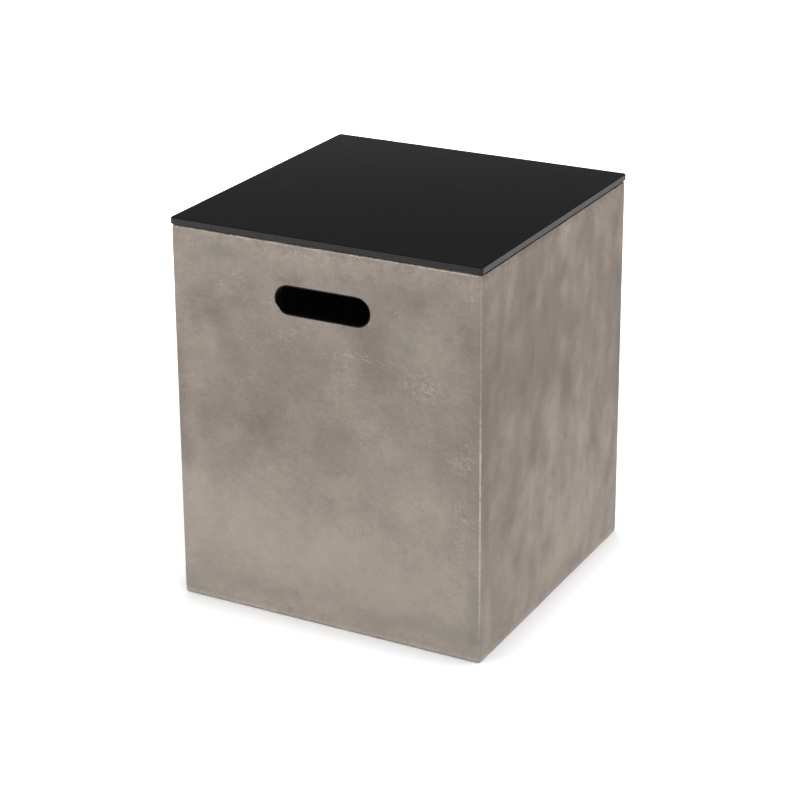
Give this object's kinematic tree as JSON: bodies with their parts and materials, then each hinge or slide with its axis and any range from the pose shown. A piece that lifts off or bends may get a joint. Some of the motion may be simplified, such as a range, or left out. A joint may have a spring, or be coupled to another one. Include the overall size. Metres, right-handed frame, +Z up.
{
  "type": "propane tank cover",
  "caption": "Square open-bottomed concrete shell with oval handle slots and a hose notch, topped by a loose black glass slab, covering an upright gas bottle as a side table.",
  "frame": {"origin": "on the floor, under the centre of the cover", "axes": "+Z up, -Y towards the front wall, whose slot the picture shows; +X to the right seen from the front; the hose notch is on +Y"},
  "size_m": [0.402, 0.402, 0.48],
  "materials": {
    "concrete": "fibre-reinforced light concrete, trowelled and rubbed, matt",
    "black_glass": "black tempered glass with ground edges, glossy",
    "liner_plastic": "moulded black plastic, satin",
    "bumper_silicone": "clear silicone, satin",
    "foot_rubber": "moulded black rubber, matt",
    "plated_steel": "zinc-plated",
    "insert_brass": "turned"
  },
  "bodies": {
    "cover": {"concrete_shell": "concrete", "handle_liner_front": "liner_plastic", "handle_liner_back": "liner_plastic", "glass_bumper_front_left": "bumper_silicone", "glass_bumper_front_right": "bumper_silicone", "glass_bumper_back_left": "bumper_silicone", "glass_bumper_back_right": "bumper_silicone", "foot_pad_front_left": "foot_rubber", "foot_pad_front_right": "foot_rubber", "foot_pad_back_left": "foot_rubber", "foot_pad_back_right": "foot_rubber", "foot_washers": "plated_steel", "foot_screws": "plated_steel", "foot_inserts": "insert_brass"},
    "table_glass": {"glass_top": "black_glass"}
  },
  "joints": [
    {"name": "glass_lift", "type": "slide", "parent": "cover", "child": "table_glass", "axis": [0, 0, 1], "range_m": [0, 0.15]}
  ]
}
